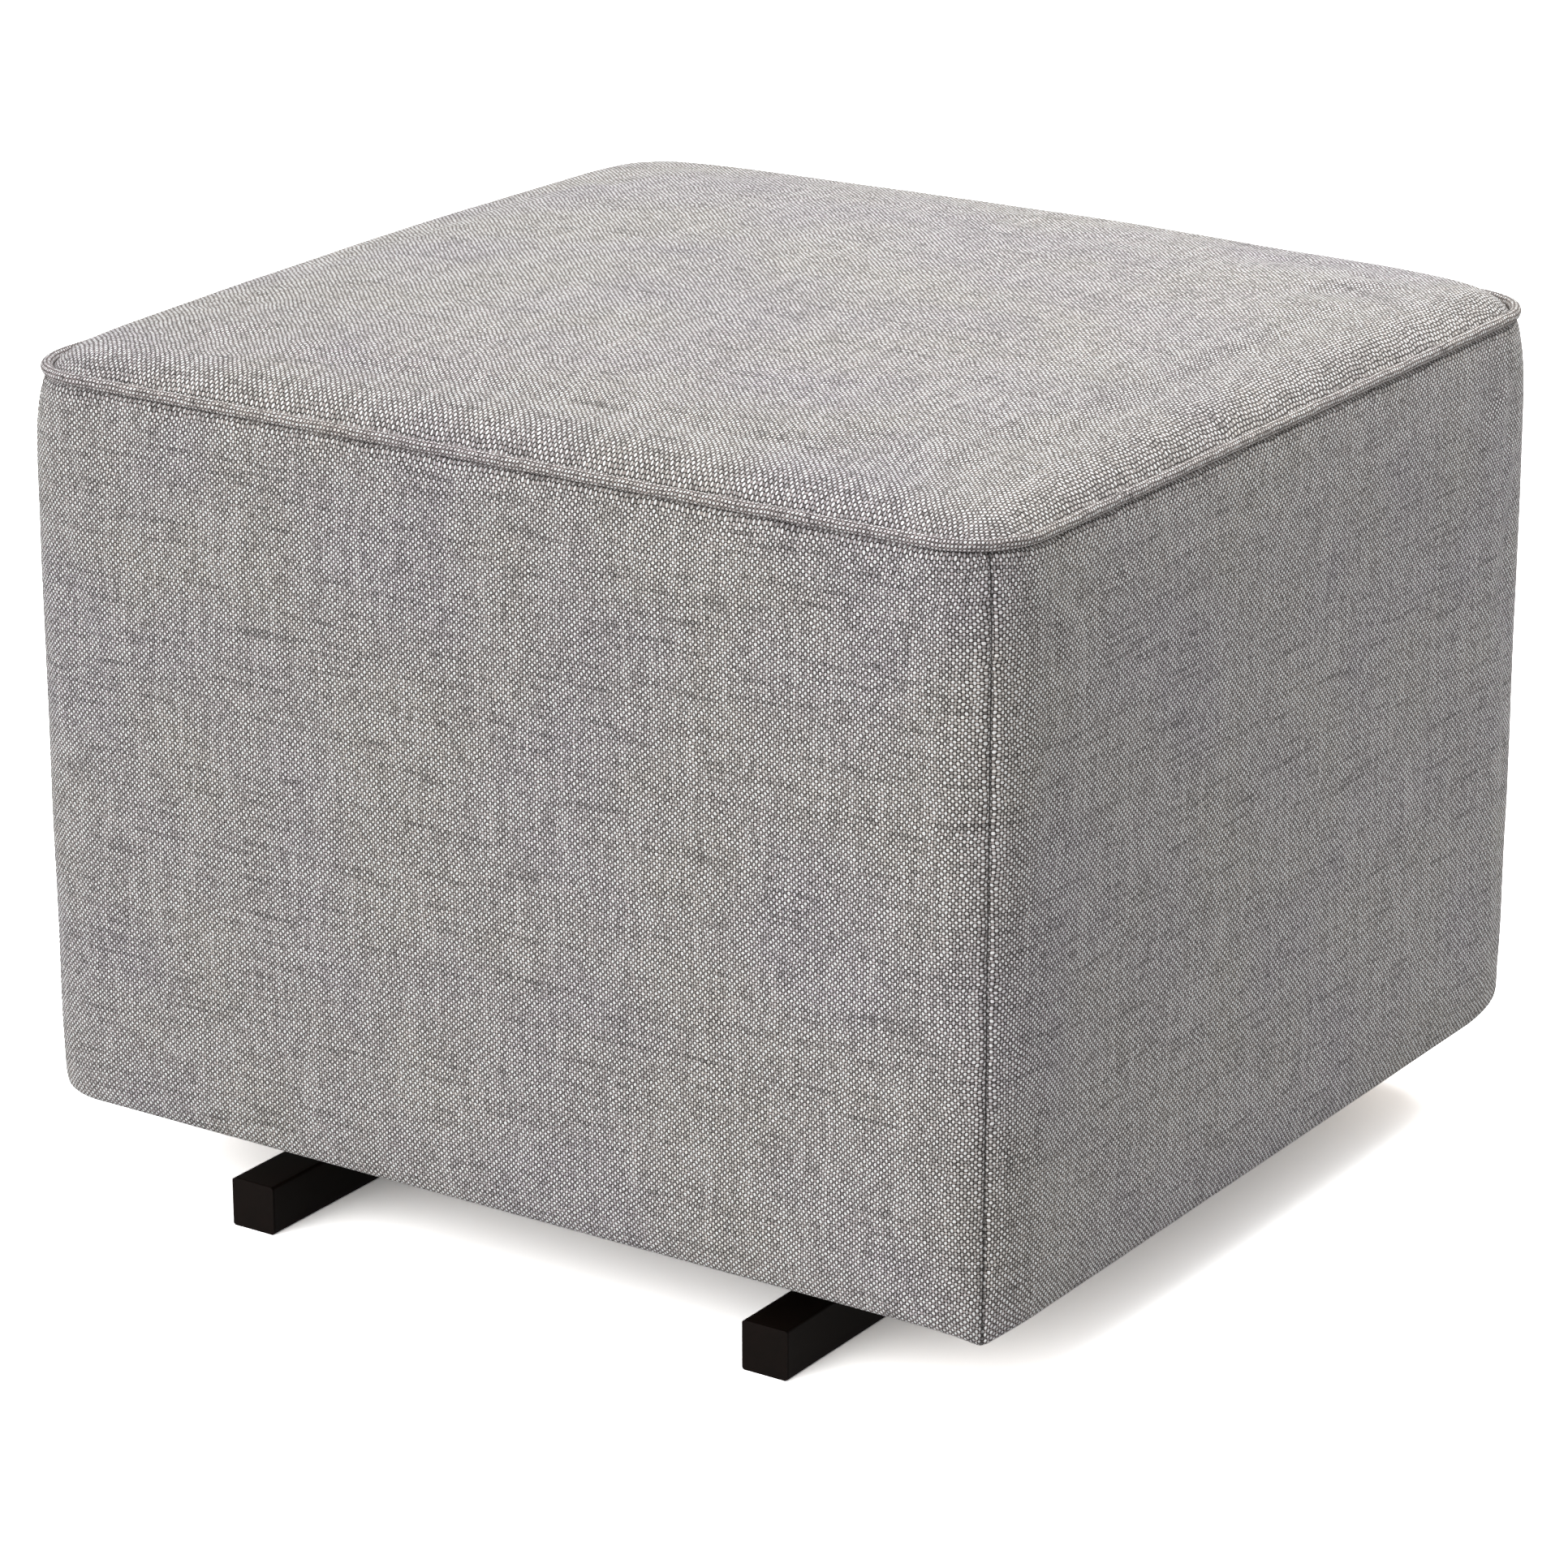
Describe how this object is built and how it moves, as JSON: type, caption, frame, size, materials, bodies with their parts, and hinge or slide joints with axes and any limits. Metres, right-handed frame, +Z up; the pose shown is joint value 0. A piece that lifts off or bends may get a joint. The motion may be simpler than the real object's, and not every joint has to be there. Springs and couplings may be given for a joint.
{
  "type": "glider ottoman",
  "caption": "Upholstered box footstool with a crowned, welted top that glides to and fro on swing links over a steel floor base.",
  "frame": {"origin": "on the floor under the middle of the box at rest", "axes": "+X right along the wide front face, +Y back along the floor rails and the glide, +Z up"},
  "size_m": [0.5612, 0.527, 0.437],
  "materials": {
    "black_steel": "satin espresso-black powder coat",
    "cap_plastic": "fine matte, espresso black",
    "zinc_steel": "bright zinc plate",
    "bearing_steel": "ground steel rings with black seals",
    "stop_rubber": "matte moulded rubber",
    "pine": "raw sawn softwood",
    "hardboard": "smooth brown hardboard",
    "plywood": "raw rotary-cut veneer",
    "foam": "open-cell cushion foam",
    "wadding": "bonded polyester fibre",
    "linen_weave": "warm grey linen-look plain weave with slubs"
  },
  "bodies": {
    "base": {"bracket_screws": "zinc_steel", "cross_tube_front": "black_steel", "cross_tube_rear": "black_steel", "floor_rail_left": "black_steel", "floor_rail_right": "black_steel", "pivot_bracket_front_left": "black_steel", "pivot_bracket_front_right": "black_steel", "pivot_bracket_rear_left": "black_steel", "pivot_bracket_rear_right": "black_steel", "rail_end_caps": "cap_plastic", "tie_tube_front": "black_steel", "tie_tube_rear": "black_steel", "upper_pivot_bolts": "zinc_steel", "upper_pivot_nuts": "zinc_steel", "upper_pivot_spacers": "zinc_steel"},
    "link_front_left": {"swing_link_front_left": "black_steel", "link_bearings_front_left": "bearing_steel"},
    "link_front_right": {"swing_link_front_right": "black_steel", "link_bearings_front_right": "bearing_steel"},
    "link_rear_left": {"swing_link_rear_left": "black_steel", "link_bearings_rear_left": "bearing_steel"},
    "link_rear_right": {"swing_link_rear_right": "black_steel", "link_bearings_rear_right": "bearing_steel"},
    "seat": {"bottom_rail_front": "pine", "bottom_rail_left": "pine", "bottom_rail_rear": "pine", "bottom_rail_right": "pine", "corner_post_front_left": "pine", "corner_post_front_right": "pine", "corner_post_rear_left": "pine", "corner_post_rear_right": "pine", "cover_front": "linen_weave", "cover_left": "linen_weave", "cover_rear": "linen_weave", "cover_right": "linen_weave", "cover_top": "linen_weave", "deck_panel": "plywood", "foam_cushion": "foam", "frame_screws": "zinc_steel", "lower_pivot_bolts": "zinc_steel", "lower_pivot_nuts": "zinc_steel", "lower_pivot_spacers": "zinc_steel", "runner_left": "pine", "runner_right": "pine", "seat_rail_left": "black_steel", "seat_rail_right": "black_steel", "seat_rail_screws": "zinc_steel", "side_board_front": "hardboard", "side_board_left": "hardboard", "side_board_rear": "hardboard", "side_board_right": "hardboard", "side_wadding": "wadding", "stop_buttons": "stop_rubber", "top_rail_front": "pine", "top_rail_left": "pine", "top_rail_rear": "pine", "top_rail_right": "pine", "top_wadding": "wadding", "welt_cord": "linen_weave"}
  },
  "joints": [
    {"name": "seat_hang", "type": "hinge", "parent": "link_front_left", "child": "seat", "pos_m": [-0.152, -0.12, 0.072], "axis": [-1, 0, 0], "range_deg": [-24, 24]},
    {"name": "swing_front_left", "type": "hinge", "parent": "base", "child": "link_front_left", "pos_m": [-0.152, -0.12, 0.182], "axis": [1, 0, 0], "range_deg": [-24, 24]},
    {"name": "swing_front_right", "type": "hinge", "parent": "base", "child": "link_front_right", "pos_m": [0.152, -0.12, 0.182], "axis": [1, 0, 0], "range_deg": [-24, 24]},
    {"name": "swing_rear_left", "type": "hinge", "parent": "base", "child": "link_rear_left", "pos_m": [-0.152, 0.12, 0.182], "axis": [1, 0, 0], "range_deg": [-24, 24]},
    {"name": "swing_rear_right", "type": "hinge", "parent": "base", "child": "link_rear_right", "pos_m": [0.152, 0.12, 0.182], "axis": [1, 0, 0], "range_deg": [-24, 24]}
  ],
  "couplings": [
    {"joint": "swing_front_left", "follows": "seat_hang", "ratio": 1},
    {"joint": "swing_front_right", "follows": "seat_hang", "ratio": 1},
    {"joint": "swing_rear_left", "follows": "seat_hang", "ratio": 1},
    {"joint": "swing_rear_right", "follows": "seat_hang", "ratio": 1}
  ]
}
